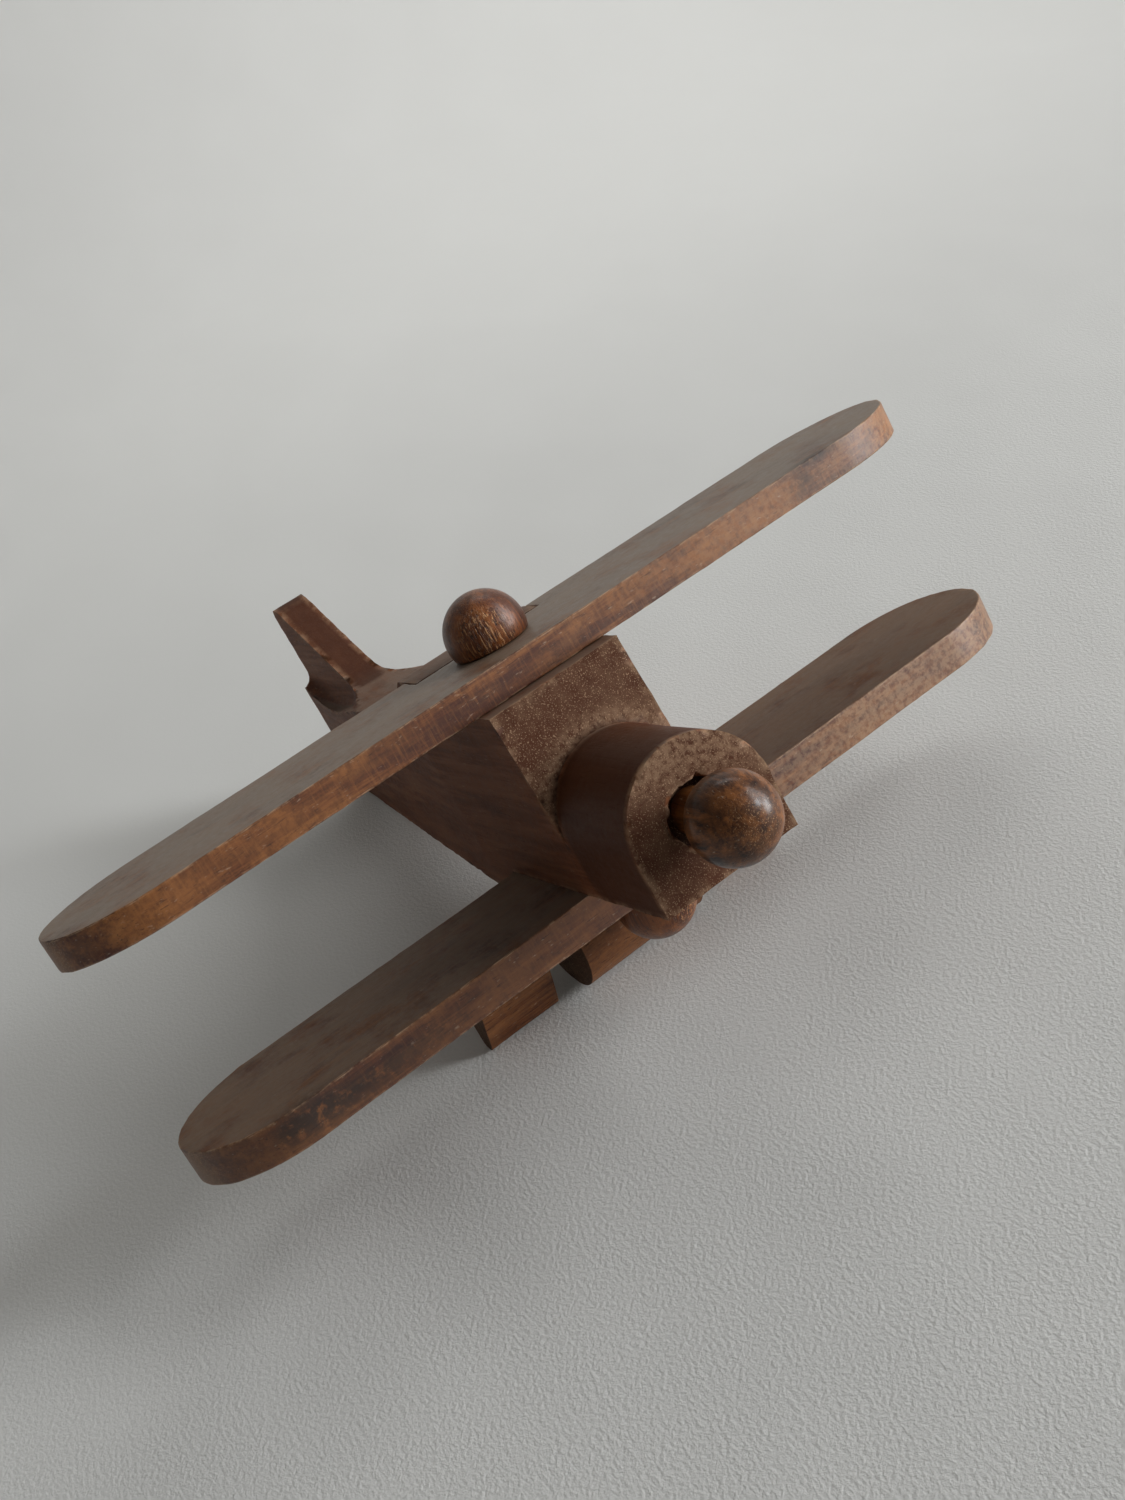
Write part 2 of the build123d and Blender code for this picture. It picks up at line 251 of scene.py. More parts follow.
def noise_node(tree, vector, scale, detail, rough, distortion=0.0, along=1.0, across=1.0):
    """Noise; along and across stretch it, and under 1 they draw it out that way."""
    stretch = node_of(tree, "ShaderNodeVectorMath", operation="MULTIPLY")
    stretch.inputs[1].default_value = (along, across, across)
    feed(tree, vector, stretch.inputs[0])
    made = node_of(tree, "ShaderNodeTexNoise")
    for key, value in (("Vector", stretch.outputs[0]), ("Scale", scale), ("Detail", detail),
                       ("Roughness", rough), ("Distortion", distortion)):
        feed(tree, value, made.inputs[key])
    return made.outputs["Fac"]


def over_node(tree, factor, under, over):
    """Lays one colour over another. A Mix node's colours are its sockets 6 and 7, out of 2."""
    made = node_of(tree, "ShaderNodeMix", data_type="RGBA")
    for place, value in ((0, factor), (6, under), (7, over)):
        feed(tree, value, made.inputs[place])
    return made.outputs[2]


def lay_out(tree, column_width=200, row_height=220):
    """Sets the nodes out in columns, each one to the right of what feeds it."""
    columns = {}

    def column_of(node):
        if node.name not in columns:
            feeds = [link.from_node for link in tree.links if link.to_node == node]
            columns[node.name] = 1 + max((column_of(other) for other in feeds), default=0)
        return columns[node.name]

    filled = {}
    for node in tree.nodes:
        column = column_of(node)
        filled[column] = filled.get(column, 0) + 1
        node.location = (column * column_width, -filled[column] * row_height)


def hardwood_group():
    """Solid hardwood whose grain runs along X of the vector it is given.

    It puts out the stained colour, a height for bump, and how dull the skin is.
    """
    tree = bpy.data.node_groups.new("hardwood", "ShaderNodeTree")
    socket(tree, "Vector", "NodeSocketVector", True)
    for name, default in (("Dark", (0.05, 0.022, 0.012, 1)), ("Middle", (0.16, 0.075, 0.035, 1)),
                          ("Light", (0.30, 0.16, 0.085, 1))):
        socket(tree, name, "NodeSocketColor", True, default)
    for name, default in (("Blotches", 0.5), ("Pores", 0.5), ("Flecks", 0.3), ("Saw", 0.2)):
        socket(tree, name, "NodeSocketFloat", True, default)
    socket(tree, "Color", "NodeSocketColor", False)
    socket(tree, "Height", "NodeSocketFloat", False)
    socket(tree, "Dull", "NodeSocketFloat", False)
    ins = node_of(tree, "NodeGroupInput").outputs
    outs = node_of(tree, "NodeGroupOutput").inputs
    calc, ramp, over = partial(calc_node, tree), partial(ramp_node, tree), partial(over_node, tree)
    noise = partial(noise_node, tree, ins["Vector"])

    # from the long streaks of the growth rings down to pores, flecks and the saw's own marks
    streaks = noise(420, 6, 0.62, 0.4, along=0.07)
    fine = noise(1900, 4, 0.6, along=0.05)
    bands = noise(120, 3, 0.5, 0.8, along=0.10)
    blotch = noise(75, 5, 0.6, 0.3, along=0.45)
    mottle = noise(600, 6, 0.70)
    pore = noise(2600, 2, 0.5, along=0.10)
    fleck = noise(1500, 3, 0.6, along=0.30)
    saw = noise(1900, 3, 0.6, across=0.1)

    grain = calc("ADD", calc("MULTIPLY", ramp(streaks, 0.32, 0.68), 0.55),
                 calc("MULTIPLY", ramp(bands, 0.35, 0.65), 0.30))
    grain = calc("ADD", grain, calc("MULTIPLY", ramp(fine, 0.3, 0.7), 0.25))
    colour = over(ramp(grain, 0.10, 0.60), ins["Dark"], ins["Middle"])
    colour = over(ramp(grain, 0.50, 1.0), colour, ins["Light"])
    patches = calc("MULTIPLY", ramp(blotch, 0.45, 0.60), ins["Blotches"], clamp=True)
    colour = over(patches, colour, ins["Light"])
    shade = calc("MULTIPLY", ramp(mottle, 0.54, 0.36), calc("MULTIPLY", ins["Blotches"], 0.8),
                 clamp=True)
    colour = over(shade, colour, ins["Dark"])
    holes = calc("MULTIPLY", ramp(pore, 0.62, 0.70), ins["Pores"], clamp=True)
    colour = over(holes, colour, ins["Dark"])
    bright = calc("MULTIPLY", ramp(fleck, 0.64, 0.74), ins["Flecks"], clamp=True)
    scuffed_pale = (0.50, 0.38, 0.27, 1)
    colour = over(bright, colour, scuffed_pale)
    saw_marks = calc("MULTIPLY", ramp(saw, 0.50, 0.68), ins["Saw"], clamp=True)
    feed(tree, over(saw_marks, colour, ins["Light"]), outs["Color"])

    height = calc("SUBTRACT", calc("MULTIPLY", fine, 0.35), calc("MULTIPLY", holes, 0.6))
    feed(tree, calc("ADD", height, calc("MULTIPLY", streaks, 0.5)), outs["Height"])
    dull = calc("ADD", calc("MULTIPLY", ramp(mottle, 0.3, 0.7), 0.6),
                calc("MULTIPLY", holes, 0.4), clamp=True)
    feed(tree, dull, outs["Dull"])
    lay_out(tree)
    return tree


def weathering_group():
    """What handling and light do to stained wood.

    Up faces go grey, partly weathering and partly a painted sheen; end grain goes dark and
    speckled, edges wear bare and inward corners are darkened. Painted marks set where the cowl and
    fin are polished dark, where the wood is dusted over (the same mark also lays painted light on
    the top of the nose face and painted sheen on the front edges towards the left tips), where dark
    spots are (stained wood, and painted shade as well on the lower wing's right end), and where the
    tool tore the grain.
    """
    tree = bpy.data.node_groups.new("weathering", "ShaderNodeTree")
    for name, kind, default in (
            ("Color", "NodeSocketColor", (0.2, 0.1, 0.05, 1)),
            ("Vector", "NodeSocketVector", None),
            ("Normal", "NodeSocketVector", None),
            ("Up", "NodeSocketVector", None),
            ("Grain", "NodeSocketVector", None),
            ("Faded", "NodeSocketColor", (0.17, 0.135, 0.11, 1)),
            ("Fade", "NodeSocketFloat", 0.6),
            ("End Color", "NodeSocketColor", (0.08, 0.045, 0.028, 1)),
            ("End", "NodeSocketFloat", 0.6),
            ("Speckle", "NodeSocketFloat", 0.5),
            ("Bare", "NodeSocketColor", (0.42, 0.27, 0.16, 1)),
            ("Wear", "NodeSocketFloat", 0.7),
            ("Dirt", "NodeSocketColor", (0.012, 0.006, 0.004, 1)),
            ("Rubbed", "NodeSocketColor", (0.060, 0.017, 0.006, 1)),
            ("Grime", "NodeSocketFloat", 0.8)):
        socket(tree, name, kind, True, default)
    socket(tree, "Color", "NodeSocketColor", False)
    for name in ("Dull", "Height", "Tops"):
        socket(tree, name, "NodeSocketFloat", False)
    ins = node_of(tree, "NodeGroupInput").outputs
    outs = node_of(tree, "NodeGroupOutput").inputs
    calc, over = partial(calc_node, tree, clamp=True), partial(over_node, tree)
    ramp = partial(ramp_node, tree, ease="SMOOTHSTEP")

    def facing(direction):
        """How far the skin faces a direction: 1 straight at it, -1 straight away."""
        dot = node_of(tree, "ShaderNodeVectorMath", operation="DOT_PRODUCT")
        feed(tree, ins["Normal"], dot.inputs[0])
        feed(tree, ins[direction], dot.inputs[1])
        return dot.outputs["Value"]

    def patches(scale, low, high, along=1.0, detail=5):
        """Ragged patches: noise cut off softly between low and high."""
        return ramp(noise_node(tree, ins["Vector"], scale, detail, 0.68, along=along), low, high)

    def mark(name):
        """A mark that was painted on the piece."""
        return node_of(tree, "ShaderNodeAttribute", attribute_name=name).outputs["Fac"]

    ends = ramp(calc("ABSOLUTE", facing("Grain"), 0), 0.72, 0.96)
    tops = ramp(facing("Up"), 0.86, 0.985)
    # Up faces turn grey: partly weathered wood, partly a painted sheen of the bright paper behind.
    fade = calc("MULTIPLY", calc("MULTIPLY", tops, patches(70, 0.22, 0.55)), ins["Fade"])
    end = calc("MULTIPLY", ends, ins["End"])
    tan = calc("MULTIPLY", end, patches(150, 0.36, 0.72))
    speckle = calc("MULTIPLY", calc("ADD", ends, 0.06), patches(3000, 0.60, 0.68, detail=1))
    speckle = calc("MULTIPLY", speckle, ins["Speckle"])
    bare = calc("MULTIPLY", mark("worn"), patches(300, 0.42, 0.60))
    bare = calc("MULTIPLY", bare, ins["Wear"])
    # Inward corners are darkened.
    dirt = calc("MULTIPLY", mark("deep"), patches(120, 0.20, 0.50))
    dirt = calc("MULTIPLY", dirt, ins["Grime"])
    dust_and_light = calc("MULTIPLY", mark("dust_and_light"), patches(700, 0.35, 0.60))
    stain_and_shade = calc("MULTIPLY", mark("stain_and_shade"), patches(420, 0.30, 0.52))
    tears = calc("MULTIPLY", mark("torn"), patches(2300, 0.54, 0.60, along=0.11))
    pits = calc("MULTIPLY", mark("torn"), patches(2000, 0.54, 0.60, along=0.11))

    colour = over(end, ins["Color"], ins["End Color"])
    # Among these layers the dusted one is also painted light and painted sheen, and the dark spots
    # are partly painted shade.
    for cover, strength, coating in (
            (tan, 0.18, "Bare"), (fade, 1, "Faded"), (mark("rubbed"), 0.8, "Rubbed"),
            (speckle, 1, "Bare"), (bare, 1, "Bare"), (dirt, 1, "Dirt"), (dust_and_light, 0.40, "Bare"),
            (stain_and_shade, 0.9, "Dirt"), (pits, 0.8, "Dirt"), (tears, 1, "Bare")):
        share = cover if strength == 1 else calc("MULTIPLY", cover, strength)
        colour = over(share, colour, ins[coating])
    feed(tree, colour, outs["Color"])
    rough = calc("MAXIMUM", calc("MAXIMUM", end, speckle), dust_and_light)
    feed(tree, calc("MAXIMUM", rough, tears), outs["Dull"])
    height = calc("ADD", calc("MULTIPLY", speckle, 0.6), calc("MULTIPLY", tears, 0.8))
    height = calc("ADD", height, calc("SUBTRACT", 0.4, calc("MULTIPLY", pits, 0.4)))
    feed(tree, height, outs["Height"])
    feed(tree, tops, outs["Tops"])
    lay_out(tree)
    return tree


hardwood = hardwood_group()
weathering = weathering_group()


def wood(name, turn, grain_way, dark, middle, light, blotches, pores, flecks, bump, saw=0.0,
         polish=0.4, shine=0.5, coat=0.0, coat_rough=0.15, top_coat=0.0, **weather):
    """Stained and waxed hardwood.

    turn is how the grain is turned on the piece, in degrees, and grain_way the way it then runs.
    coat is the varnish or wax on the sides, top_coat what is left of it on faces that look up, and
    weather holds the weathering group's own settings.
    """
    material = bpy.data.materials.new(name)
    material.use_nodes = True
    tree = material.node_tree
    shader = tree.nodes["Principled BSDF"].inputs
    place = node_of(tree, "ShaderNodeTexCoord").outputs
    mapping = node_of(tree, "ShaderNodeMapping", vector_type="POINT")
    mapping.inputs["Rotation"].default_value = [math.radians(angle) for angle in turn]
    feed(tree, place["Object"], mapping.inputs["Vector"])
    grain = node_of(tree, "ShaderNodeGroup", node_tree=hardwood)
    for key, value in (("Vector", mapping.outputs["Vector"]), ("Dark", dark), ("Middle", middle),
                       ("Light", light), ("Blotches", blotches), ("Pores", pores),
                       ("Flecks", flecks), ("Saw", saw)):
        feed(tree, value, grain.inputs[key])
    age = node_of(tree, "ShaderNodeGroup", node_tree=weathering)
    for key, value in (("Vector", mapping.outputs["Vector"]), ("Normal", place["Normal"]),
                       ("Color", grain.outputs["Color"]), ("Up", upward), ("Grain", grain_way)):
        feed(tree, value, age.inputs[key])
    for key, value in weather.items():
        age.inputs[key.replace("_", " ").title()].default_value = value
    feed(tree, age.outputs["Color"], shader["Base Color"])

    dullest = min(0.95, polish + 0.35)
    rough = node_of(tree, "ShaderNodeMapRange")
    rough.inputs["To Min"].default_value = polish
    rough.inputs["To Max"].default_value = dullest
    feed(tree, calc_node(tree, "MAXIMUM", grain.outputs["Dull"], age.outputs["Dull"]),
         rough.inputs["Value"])
    feed(tree, rough.outputs["Result"], shader["Roughness"])

    relief = node_of(tree, "ShaderNodeBump")
    relief.inputs["Strength"].default_value = bump
    relief.inputs["Distance"].default_value = 0.4 * MM
    feed(tree, calc_node(tree, "ADD", grain.outputs["Height"], age.outputs["Height"]),
         relief.inputs["Height"])
    feed(tree, relief.outputs["Normal"], shader["Normal"])

    shader["Specular IOR Level"].default_value = shine
    shader["Coat Roughness"].default_value = coat_rough
    if coat == top_coat:
        shader["Coat Weight"].default_value = coat
    else:
        coat_left = node_of(tree, "ShaderNodeMapRange")
        coat_left.inputs["To Min"].default_value = coat
        coat_left.inputs["To Max"].default_value = top_coat
        feed(tree, age.outputs["Tops"], coat_left.inputs["Value"])
        feed(tree, coat_left.outputs["Result"], shader["Coat Weight"])
    lay_out(tree)
    return material


body_wood = wood("body_wood", turn=(0, math.degrees(lean), 0), grain_way=forward,
                 dark=(0.090, 0.026, 0.009, 1), middle=(0.160, 0.050, 0.018, 1),
                 light=(0.25, 0.100, 0.045, 1), blotches=0.30, pores=0.5, flecks=0.2, bump=0.3,
                 saw=0.15, polish=0.5, shine=0.15, coat=0.05, coat_rough=0.4,
                 faded=(0.22, 0.16, 0.12, 1), fade=0.7,
                 end_color=(0.068, 0.024, 0.012, 1), end=0.88, speckle=0.7,
                 bare=(0.42, 0.27, 0.165, 1), wear=0.5, dirt=(0.016, 0.0035, 0.001, 1), grime=0.9)

fuselage = copy_of_cad("fuselage", "fuselage_wood")
lay_level(fuselage)
hand_work(fuselage)

# the edge of the mouth round the knob's neck is chipped
chipped_depth = 1.6 * MM
chipped_from, chipped_to = 6.2 * MM, 8.6 * MM
mouth = fuselage.vertex_groups.new(name="mouth")
for vertex in fuselage.data.vertices:
    from_axis = math.hypot(vertex.co.y, vertex.co.z - knob_height)
    if vertex.co.x > nose_face - chipped_depth and chipped_from < from_axis < chipped_to:
        mouth.add([vertex.index], 1.0, "REPLACE")
apply_modifier(fuselage, "chips", "DISPLACE", texture=edge_nicks, strength=3 * MM, mid_level=0.68,
               vertex_group="mouth", texture_coords="LOCAL")
cowl_axis = 38.1 * MM
cowl_radius = 17.2 * MM
roof = 69.5 * MM
windscreen_top = 49.6 * MM
windscreen_slope = math.radians(7)


def past_windscreen(x, z):
    """How far ahead of the sloping windscreen a point is."""
    return x - windscreen_top - (roof - z) * math.tan(windscreen_slope)


def rubbed_dark(x, y, z):
    """The barrel of the cowl and the ridge of the fin, polished by hands."""
    fin_front, fin_foot, fin_half_width = -80 * MM, 63 * MM, 4.8 * MM
    if x < fin_front:
        return z > fin_foot and abs(y) < fin_half_width
    behind_nose, off_windscreen = nose_face - 0.7 * MM - x, past_windscreen(x, z) - 0.6 * MM
    return min(off_windscreen, behind_nose) / MM


def dust_ring_and_lit_nose(x, y, z):
    """A dusted ring at the cowl's foot on the windscreen, and painted light on the nose face."""
    # On the nose face this is painted light: paler upwards and to the aircraft's left, towards the
    # window.
    if x > nose_face - 0.6 * MM:
        pale_from, pale_over = 42 * MM, 12 * MM
        return 1.5 * (z + 0.3 * y - pale_from) / pale_over
    ring_gap, ring_width = 1.8 * MM, 2.2 * MM
    ring = (math.hypot(y, z - cowl_axis) - cowl_radius - ring_gap) / ring_width
    on_screen = abs(past_windscreen(x, z)) < 1.2 * MM and z > 40 * MM
    return on_screen * math.exp(-ring * ring)


paint(fuselage, "rubbed", rubbed_dark)
paint(fuselage, "dust_and_light", dust_ring_and_lit_nose)
stand_up(fuselage)
fuselage.data.materials.append(body_wood)
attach(fuselage, "airframe")
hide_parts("fuselage")

# ---------------------------------------------------------------------------------------------
# Wings. Two boards with their ends sawn round and their edges barely broken, their tops gone grey,
# partly weathering and partly painted sheen; the lower board's wood is painted darker as shade
# under the top one. The top one is notched to fit round the roof; the bottom one is let in under
# the cabin.
# ---------------------------------------------------------------------------------------------
half_span = 115.0 * MM
top_thickness, bottom_thickness = 8.0 * MM, 8.9 * MM
bottom_underside = 15.9 * MM
top_plan = {"rear": 8.4 * MM, "chord": 36.0 * MM, "tip": 25.5 * MM}
bottom_plan = {"rear": 7.0 * MM, "chord": 41.8 * MM, "tip": 24.0 * MM}


def wing_board(name, underside, thickness, rear, chord, tip):
    """A board with half-oval ends, from a flat drum pulled apart along the span."""
    sides = 128
    bpy.ops.object.select_all(action="DESELECT")
    bpy.ops.mesh.primitive_cylinder_add(vertices=sides, radius=1, depth=thickness,
                                        location=(rear + chord / 2, 0, underside + thickness / 2),
                                        rotation=(0, 0, math.pi / sides))
    board = bpy.context.active_object
    board.name = board.data.name = name
    bpy.ops.object.transform_apply(location=False, rotation=True, scale=True)
    board.scale = (chord / 2, tip, 1)
    bpy.ops.object.transform_apply(location=True, rotation=True, scale=True)
    for side in (1, -1):
        bpy.ops.object.mode_set(mode="EDIT")
        bpy.ops.mesh.select_all(action="DESELECT")
        bpy.ops.object.mode_set(mode="OBJECT")
        for vertex in board.data.vertices:
            vertex.select = vertex.co.y * side > 0
        bpy.ops.object.mode_set(mode="EDIT")
        bpy.ops.transform.translate(value=(0, side * (half_span - tip), 0))
        bpy.ops.object.mode_set(mode="OBJECT")
    return board


top_wing = wing_board("top_wing_board", roof, top_thickness, **top_plan)
bottom_wing = wing_board("bottom_wing_board", bottom_underside, bottom_thickness, **bottom_plan)

# the notch round the raised roof behind the pilot, cut right through the board
notch_front = 16.35 * MM
notch_length, notch_width, notch_depth = 16.7 * MM, 34.7 * MM, 20 * MM
notch_middle = (notch_front - notch_length / 2, 0, roof + top_thickness / 2)
bpy.ops.object.select_all(action="DESELECT")
bpy.ops.mesh.primitive_cube_add(size=1, location=notch_middle,
                                scale=(notch_length, notch_width, notch_depth))
notch = bpy.context.active_object
pick(top_wing)
apply_modifier(top_wing, "notch", "BOOLEAN", operation="DIFFERENCE", object=notch, solver="EXACT")
bpy.data.objects.remove(notch)

wing_wood = wood("wing_wood", turn=(0, 0, 90), grain_way=(0, 1, 0),
                 dark=(0.040, 0.008, 0.0015, 1), middle=(0.108, 0.025, 0.0045, 1),
                 light=(0.33, 0.125, 0.030, 1), blotches=0.6, pores=0.6, flecks=0.45, bump=0.35,
                 saw=0.30, polish=0.45, shine=0.35, coat=0.6, coat_rough=0.45, top_coat=0.3,
                 faded=(0.24, 0.18, 0.13, 1), fade=0.85,
                 end_color=(0.25, 0.125, 0.05, 1), end=0.5, speckle=0.5,
                 bare=(0.50, 0.33, 0.20, 1), wear=0.9, dirt=(0.010, 0.003, 0.001, 1), grime=0.9)
# The lower wing's wood is the wing wood painted darker and less grey on top: painted shade under
# the top wing.
shaded_lower_wing_wood = wood("shaded_lower_wing_wood", turn=(0, 0, 90), grain_way=(0, 1, 0),
                       dark=(0.028, 0.004, 0.001, 1), middle=(0.086, 0.017, 0.003, 1),
                       light=(0.25, 0.095, 0.025, 1), blotches=0.5, pores=0.6, flecks=0.45,
                       bump=0.35, saw=0.25, polish=0.55, shine=0.3, coat=0.9, coat_rough=0.45,
                       faded=(0.205, 0.135, 0.088, 1), fade=0.8,
                       end_color=(0.25, 0.125, 0.05, 1), end=0.5, speckle=0.5,
                       bare=(0.50, 0.33, 0.20, 1), wear=0.9, dirt=(0.010, 0.003, 0.001, 1),
                       grime=0.9)


def spots(front, *places):
    """Dark spots on a front edge, soft all round: stained wood, and painted shade as well.

    Each is given by where it is along the span and how high, and by its reach along and up, in mm.
    """
    deep = 3

    def amount(x, y, z):
        stains_and_shade = 0
        for along, height, wide, tall in places:
            off = ((x - front) / deep, (y - along * MM) / wide, (z - height * MM) / tall)
            stains_and_shade += math.exp(-sum((share / MM) ** 2 for share in off))
        return stains_and_shade
    return amount


def pale_lit_edge(strength, rear, chord, tip):
    """Front edges paler towards the left tip: partly handling wear, partly painted sheen."""
    middle = rear + chord / 2
    pale_from, pale_over = -5 * MM, 105 * MM
    inside_rim = 0.95

    def amount(x, y, z):
        beyond = max(0.0, y - half_span + tip) / tip
        at_rim = ((x - middle) / (chord / 2)) ** 2 + beyond ** 2 > inside_rim
        return strength * (y - pale_from) / pale_over if x > middle and at_rim else 0.0
    return amount


top_stains = spots(44.4 * MM, (77.5, 74, 3.5, 2), (83, 77, 5, 1.0))
# On the lower wing's right end the dark spots are partly stained wood and partly painted shade.
bottom_stains_and_shade = spots(48.8 * MM, (-92, 22.0, 9, 3.5), (-78, 20, 22, 3.0))
for board, node, finish, stains_and_shade, pale in (
        (top_wing, "top_wing", wing_wood, top_stains, pale_lit_edge(0.6, **top_plan)),
        (bottom_wing, "bottom_wing", shaded_lower_wing_wood, bottom_stains_and_shade,
         pale_lit_edge(1.6, **bottom_plan))):
    hand_work(board)
    paint(board, "stain_and_shade", stains_and_shade)
    paint(board, "dust_and_light", pale)
    stand_up(board)
    board.data.materials.append(finish)
    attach(board, "airframe")
    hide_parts(node)

# ---------------------------------------------------------------------------------------------
# Belly block and feet. A length of thick round bar and two wedges of the same reddish wood,
# cut flat on top, pegged and glued under the bottom wing. Their rounds are worn by the table.
# ---------------------------------------------------------------------------------------------
gear_wood = wood("gear_wood", turn=(0, 0, 90), grain_way=(0, 1, 0),
                 dark=(0.034, 0.009, 0.0025, 1), middle=(0.13, 0.040, 0.011, 1),
                 light=(0.27, 0.11, 0.038, 1), blotches=0.5, pores=0.8, flecks=0.4, bump=0.35,
                 polish=0.5, shine=0.3, coat=0.1, coat_rough=0.45, fade=0.0,
                 end_color=(0.060, 0.026, 0.012, 1), end=0.85, speckle=0.4,
                 bare=(0.40, 0.26, 0.14, 1), wear=0.7, dirt=(0.010, 0.003, 0.001, 1), grime=0.9)
for node in ("belly_block", "left_foot", "right_foot"):
    piece = copy_of_cad(node, node + "_wood")
    lay_level(piece)
    hand_work(piece, cell=1.5 * MM)
    stand_up(piece)
    piece.data.materials.append(gear_wood)
    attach(piece, "airframe")
    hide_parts(node)

# ---------------------------------------------------------------------------------------------
# Pilot's head, belly ball and nose knob. Three turned balls of a lighter orange-brown wood,
# varnished. Two are cut flat and pegged on; the third has a neck and turns in the nose.
# ---------------------------------------------------------------------------------------------
# middles of the balls as they lie level, in mm
head_middle = Vector((25.3, 0, 80.7))
belly_ball_middle = Vector((38.1, 0, 11.0))
knob_middle = Vector((98.1, 0, 39.1))


def turn_round(piece, skin=0.35 * MM, waves=0.12 * MM):
    """Gives a turned piece an even fine skin, barely out of round."""
    pick(piece)
    apply_modifier(piece, "skin", "REMESH", mode="VOXEL", voxel_size=skin, use_smooth_shade=True)
    apply_modifier(piece, "sanding", "SMOOTH", factor=0.5, iterations=2)
    apply_modifier(piece, "waves", "DISPLACE", texture=hand_waves, strength=waves, mid_level=1.0,
                   texture_coords="LOCAL")
    mark_wear(piece)


ball_wood = wood("ball_wood", turn=(0, -90 + math.degrees(lean), 0), grain_way=upward,
                 dark=(0.026, 0.005, 0.001, 1), middle=(0.13, 0.030, 0.004, 1),
                 light=(0.36, 0.115, 0.022, 1), blotches=0.35, pores=0.9, flecks=0.3, bump=0.6,
                 polish=0.36, shine=0.4, coat=0.35, coat_rough=0.28, top_coat=0.35, fade=0.0,
                 end_color=(0.10, 0.03, 0.008, 1), end=0.2, speckle=0.3,
                 bare=(0.55, 0.28, 0.12, 1), wear=0.3, dirt=(0.012, 0.003, 0.001, 1), grime=0.9)
knob_wood = wood("knob_wood", turn=(0, math.degrees(lean), 0), grain_way=forward,
                 dark=(0.008, 0.0017, 0.0005, 1), middle=(0.034, 0.0085, 0.0024, 1),
                 light=(0.33, 0.12, 0.033, 1), blotches=0.5, pores=0.6, flecks=0.6, bump=0.4,
                 polish=0.34, shine=0.2, coat=0.4, coat_rough=0.2, top_coat=0.4, fade=0.0,
                 end_color=(0.03, 0.008, 0.002, 1), end=0.3, speckle=0.5,
                 bare=(0.50, 0.28, 0.13, 1), wear=0.3, dirt=(0.010, 0.003, 0.001, 1), grime=0.9)


def torn_towards(middle, way, reach):
    """Torn grain on a ball: strongest in one direction from its middle, to reach degrees off it."""
    way = Vector(way).normalized()
    soft_rim = 0.15

    def amount(x, y, z):
        spoke = (Vector((x, y, z)) - middle * MM).normalized()
        return (spoke.dot(way) - math.cos(math.radians(reach))) / soft_rim
    return amount


for node, body, finish, torn in (
        ("pilot_head", "airframe", ball_wood, torn_towards(head_middle, (0.84, -0.40, 0.05), 46)),
        ("belly_ball", "airframe", ball_wood,
         torn_towards(belly_ball_middle, (0.86, 0.34, -0.28), 34)),
        ("nose_knob", "knob", knob_wood, torn_towards(knob_middle, (0.30, 0.80, -0.30), 20))):
    piece = copy_of_cad(node, node + "_wood")
    lay_level(piece)
    turn_round(piece)
    paint(piece, "torn", torn)
    stand_up(piece)
    piece.data.materials.append(finish)
    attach(piece, body)
    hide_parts(node)

# ---------------------------------------------------------------------------------------------
# Pegs. Plain beech dowels, cut off a bought rod and left raw. They are glued into drilled holes,
# hidden inside the wood they hold together.
# ---------------------------------------------------------------------------------------------
peg_wood = wood("peg_wood", turn=(0, 90 - math.degrees(lean), 0), grain_way=upward,
                dark=(0.30, 0.19, 0.11, 1), middle=(0.48, 0.34, 0.20, 1),
                light=(0.60, 0.46, 0.30, 1), blotches=0.3, pores=0.4, flecks=0.1, bump=0.3,
                polish=0.6, fade=0.0, end=0.2, speckle=0.1, wear=0.0, grime=0.0)
for node in ("head_peg", "belly_ball_peg", "block_pegs", "foot_pegs"):
    for material_slot in frame["nodes"][node].material_slots:
        material_slot.material = peg_wood

# ---------------------------------------------------------------------------------------------
# Floor. A broad sheet of pale matt paper with a fine tooth. It lies under the aircraft and curves
# up to a wall well behind it.
# ---------------------------------------------------------------------------------------------
floor_length, floor_width, floor_middle = 5.0, 14.0, 1.80
floor_turn = math.radians(-21.8)
sweep_steps = 12
sweep_step = 0.09
wall_height = 3
bpy.ops.object.select_all(action="DESELECT")
bpy.ops.mesh.primitive_plane_add(size=1, location=(floor_middle, 0, 0))
floor = bpy.context.active_object
floor.name = floor.data.name = "paper_floor"
floor.scale = (floor_length, floor_width, 1)
bpy.ops.object.transform_apply(location=True, rotation=True, scale=True)
bpy.ops.object.mode_set(mode="EDIT")
bpy.ops.mesh.select_mode(type="EDGE")
bpy.ops.mesh.select_all(action="DESELECT")
bpy.ops.object.mode_set(mode="OBJECT")
for edge in floor.data.edges:
    edge.select = all(floor.data.vertices[i].co.x < 0 for i in edge.vertices)
bpy.ops.object.mode_set(mode="EDIT")
for step in range(sweep_steps):
    rise = math.radians(90 * (step + 0.5) / sweep_steps)
    bpy.ops.mesh.extrude_region_move(TRANSFORM_OT_translate={
        "value": (-sweep_step * math.cos(rise), 0, sweep_step * math.sin(rise))})
bpy.ops.mesh.extrude_region_move(TRANSFORM_OT_translate={"value": (0, 0, wall_height)})
bpy.ops.mesh.select_all(action="SELECT")
bpy.ops.mesh.normals_make_consistent(inside=False)
bpy.ops.object.mode_set(mode="OBJECT")
floor.rotation_euler = (0, 0, floor_turn)
bpy.ops.object.transform_apply(location=True, rotation=True, scale=True)
smooth_by_angle(floor)

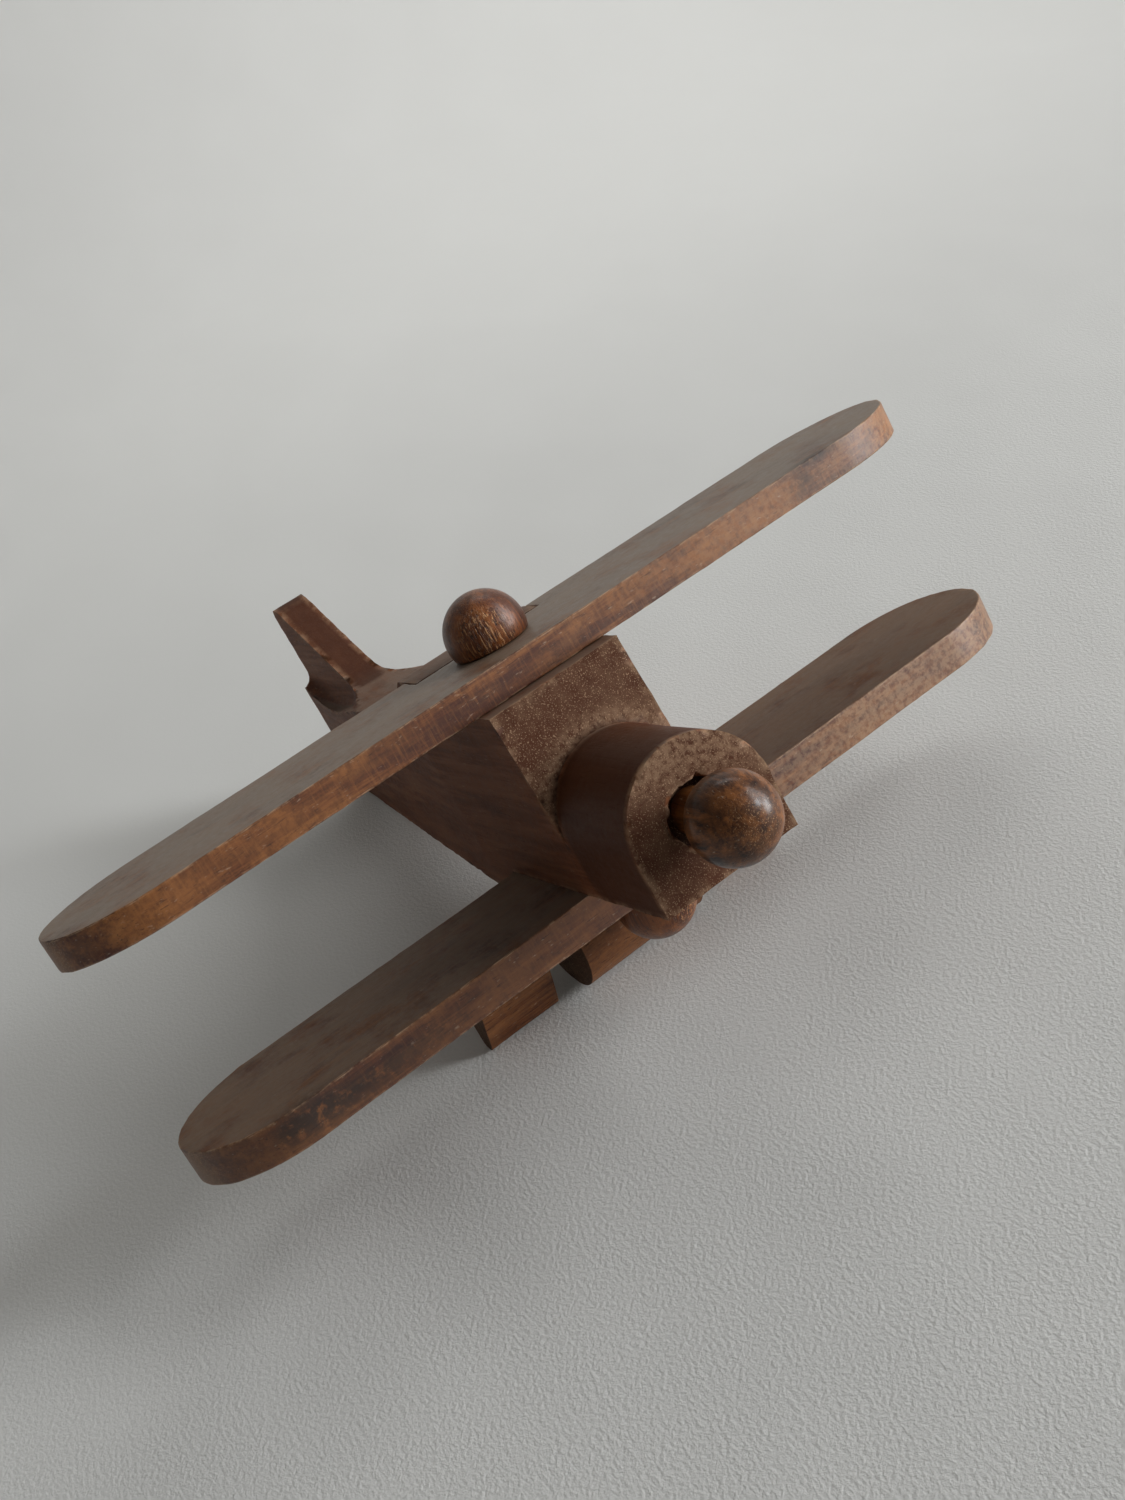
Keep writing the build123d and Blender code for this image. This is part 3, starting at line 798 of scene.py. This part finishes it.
paper = bpy.data.materials.new("pale_paper")
paper.use_nodes = True
paper_tree = paper.node_tree
paper_shader = paper_tree.nodes["Principled BSDF"].inputs
paper_shader["Base Color"].default_value = (0.715, 0.715, 0.69, 1)
paper_shader["Roughness"].default_value = 0.9
paper_shader["Specular IOR Level"].default_value = 0.2
paper_place = node_of(paper_tree, "ShaderNodeTexCoord").outputs["Object"]


def paper_noise(**settings):
    """Noise on the paper's own surface."""
    noise = node_of(paper_tree, "ShaderNodeTexNoise")
    feed(paper_tree, paper_place, noise.inputs["Vector"])
    for key, value in settings.items():
        noise.inputs[key].default_value = value
    return noise.outputs["Fac"]


# the sheet isn't quite flat
ripples = node_of(paper_tree, "ShaderNodeBump")
ripples.inputs["Strength"].default_value = 0.35
ripples.inputs["Distance"].default_value = 6.0 * MM
feed(paper_tree, paper_noise(Scale=9, Detail=2), ripples.inputs["Height"])

# its tooth is rubbed smooth from the aircraft backwards
where = node_of(paper_tree, "ShaderNodeSeparateXYZ")
feed(paper_tree, paper_place, where.inputs[0])
tooth_left = node_of(paper_tree, "ShaderNodeMapRange")
for key, value in (("Value", where.outputs["X"]), ("From Min", -0.22), ("From Max", 0.08),
                   ("To Min", 0.12)):
    feed(paper_tree, value, tooth_left.inputs[key])
tooth = node_of(paper_tree, "ShaderNodeBump")
tooth.inputs["Distance"].default_value = 0.3 * MM
for key, value in (("Height", paper_noise(Scale=1000, Detail=4, Roughness=0.6)),
                   ("Strength", tooth_left.outputs["Result"]),
                   ("Normal", ripples.outputs["Normal"])):
    feed(paper_tree, value, tooth.inputs[key])
feed(paper_tree, tooth.outputs["Normal"], paper_shader["Normal"])
lay_out(paper_tree)
floor.data.materials.append(paper)

# ---------------------------------------------------------------------------------------------
# Light. A broad soft window ahead and to the left of the aircraft, with one clearer pane in it, and
# two soft boxes, one for the paper behind and one beside the nose. The surround is even and dim.
# ---------------------------------------------------------------------------------------------
bpy.context.scene.view_settings.view_transform = "Standard"
world = bpy.data.worlds.new("pale_room")
bpy.context.scene.world = world
world.use_nodes = True
world.node_tree.nodes["Background"].inputs["Color"].default_value = (1.0, 0.95, 0.90, 1)
world.node_tree.nodes["Background"].inputs["Strength"].default_value = 0.11


def window(name, way, spread, strength, tint):
    """Daylight from one direction, softened as by a window of that spread in degrees."""
    light = bpy.data.lights.new(name, "SUN")
    light.angle = math.radians(spread)
    light.energy = strength
    light.color = tint
    holder = bpy.data.objects.new(name, light)
    bpy.context.collection.objects.link(holder)
    holder.rotation_mode = "QUATERNION"
    holder.rotation_quaternion = Vector(way).to_track_quat("Z", "Y")


window("broad_window", way=(0.25, 0.87, 0.42), spread=45, strength=2.3, tint=(0.98, 0.99, 1.0))
window("clear_pane", way=(0.58, 0.71, 0.39), spread=13, strength=0.7, tint=(0.92, 0.96, 1.0))


def soft_box(name, place, aim, size, power):
    """A square lamp with a white cloth front, kept out of sight."""
    lamp = bpy.data.lights.new(name, "AREA")
    lamp.size = size
    lamp.energy = power
    holder = bpy.data.objects.new(name, lamp)
    bpy.context.collection.objects.link(holder)
    holder.location = place
    holder.rotation_mode = "QUATERNION"
    holder.rotation_quaternion = (Vector(place) - Vector(aim)).to_track_quat("Z", "Y")
    holder.visible_camera = False


soft_box("box_behind", place=(-0.50, 0.50, 0.80), aim=(-1.0, 0.65, 0), size=0.6, power=3.5)
soft_box("box_beside", place=(0.37, 0.53, 0.09), aim=(0.03, 0.08, 0.06), size=0.2, power=1.9)

# ---------------------------------------------------------------------------------------------
# Camera. It is held above and ahead of the right wing, looks down past the nose into the space
# between the wings, and is rolled to the left.
# ---------------------------------------------------------------------------------------------
lens = bpy.data.cameras.new("camera")
lens.lens = 40.80
lens.sensor_width = 36.0
lens.sensor_fit = "AUTO"
lens.clip_start, lens.clip_end = 0.01, 50
camera = bpy.data.objects.new("camera", lens)
bpy.context.collection.objects.link(camera)
camera_place = Vector((0.31202, -0.12152, 0.25295))
looks_at = Vector((-0.00847, 0.00658, 0.05077))
roll = Quaternion((0, 0, 1), math.radians(-23.05))
camera.location = camera_place
camera.rotation_mode = "QUATERNION"
camera.rotation_quaternion = (camera_place - looks_at).to_track_quat("Z", "Y") @ roll
bpy.context.scene.camera = camera
